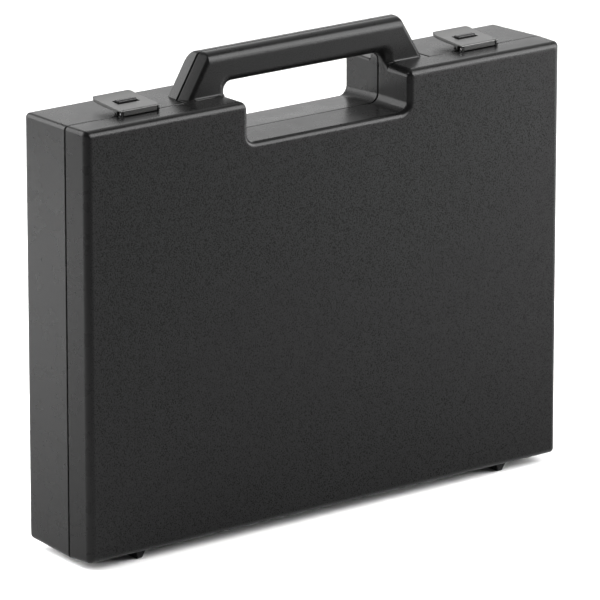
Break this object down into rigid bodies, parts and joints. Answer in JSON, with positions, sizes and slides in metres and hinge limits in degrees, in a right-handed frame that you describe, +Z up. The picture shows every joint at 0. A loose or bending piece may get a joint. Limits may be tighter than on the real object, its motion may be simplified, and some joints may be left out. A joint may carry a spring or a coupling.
{
  "type": "attache case",
  "caption": "Rigid moulded plastic attache case with an integral carrying handle, a hinged shallow lid and snap hasps on top.",
  "frame": {"origin": "middle of the footprint, on the surface that the case stands on", "axes": "+X along the case's width, +Y from the lid to the deep rear shell, +Z up through the handle"},
  "size_m": [0.34, 0.0604, 0.2778],
  "materials": {
    "case_plastic": "black, fine moulded grain",
    "latch_plastic": "black, satin",
    "pin_steel": "bright drawn wire"
  },
  "bodies": {
    "rear_case": {"rear_shell": "case_plastic", "hinge_pin_left": "pin_steel", "hinge_pin_right": "pin_steel"},
    "lid": {"front_shell": "case_plastic", "latch_pin_left": "pin_steel", "latch_pin_right": "pin_steel"},
    "hasp_left": {"latch_left": "latch_plastic"},
    "hasp_right": {"latch_right": "latch_plastic"}
  },
  "joints": [
    {"name": "lid_hinge", "type": "hinge", "parent": "rear_case", "child": "lid", "pos_m": [0, -0.0113, 0.002], "axis": [1, 0, 0], "range_deg": [0, 180]},
    {"name": "latch_left_hinge", "type": "hinge", "parent": "lid", "child": "hasp_left", "pos_m": [-0.1212, -0.0141, 0.2544], "axis": [1, 0, 0], "range_deg": [0, 90]},
    {"name": "latch_right_hinge", "type": "hinge", "parent": "lid", "child": "hasp_right", "pos_m": [0.1212, -0.0141, 0.2544], "axis": [1, 0, 0], "range_deg": [0, 90]}
  ]
}
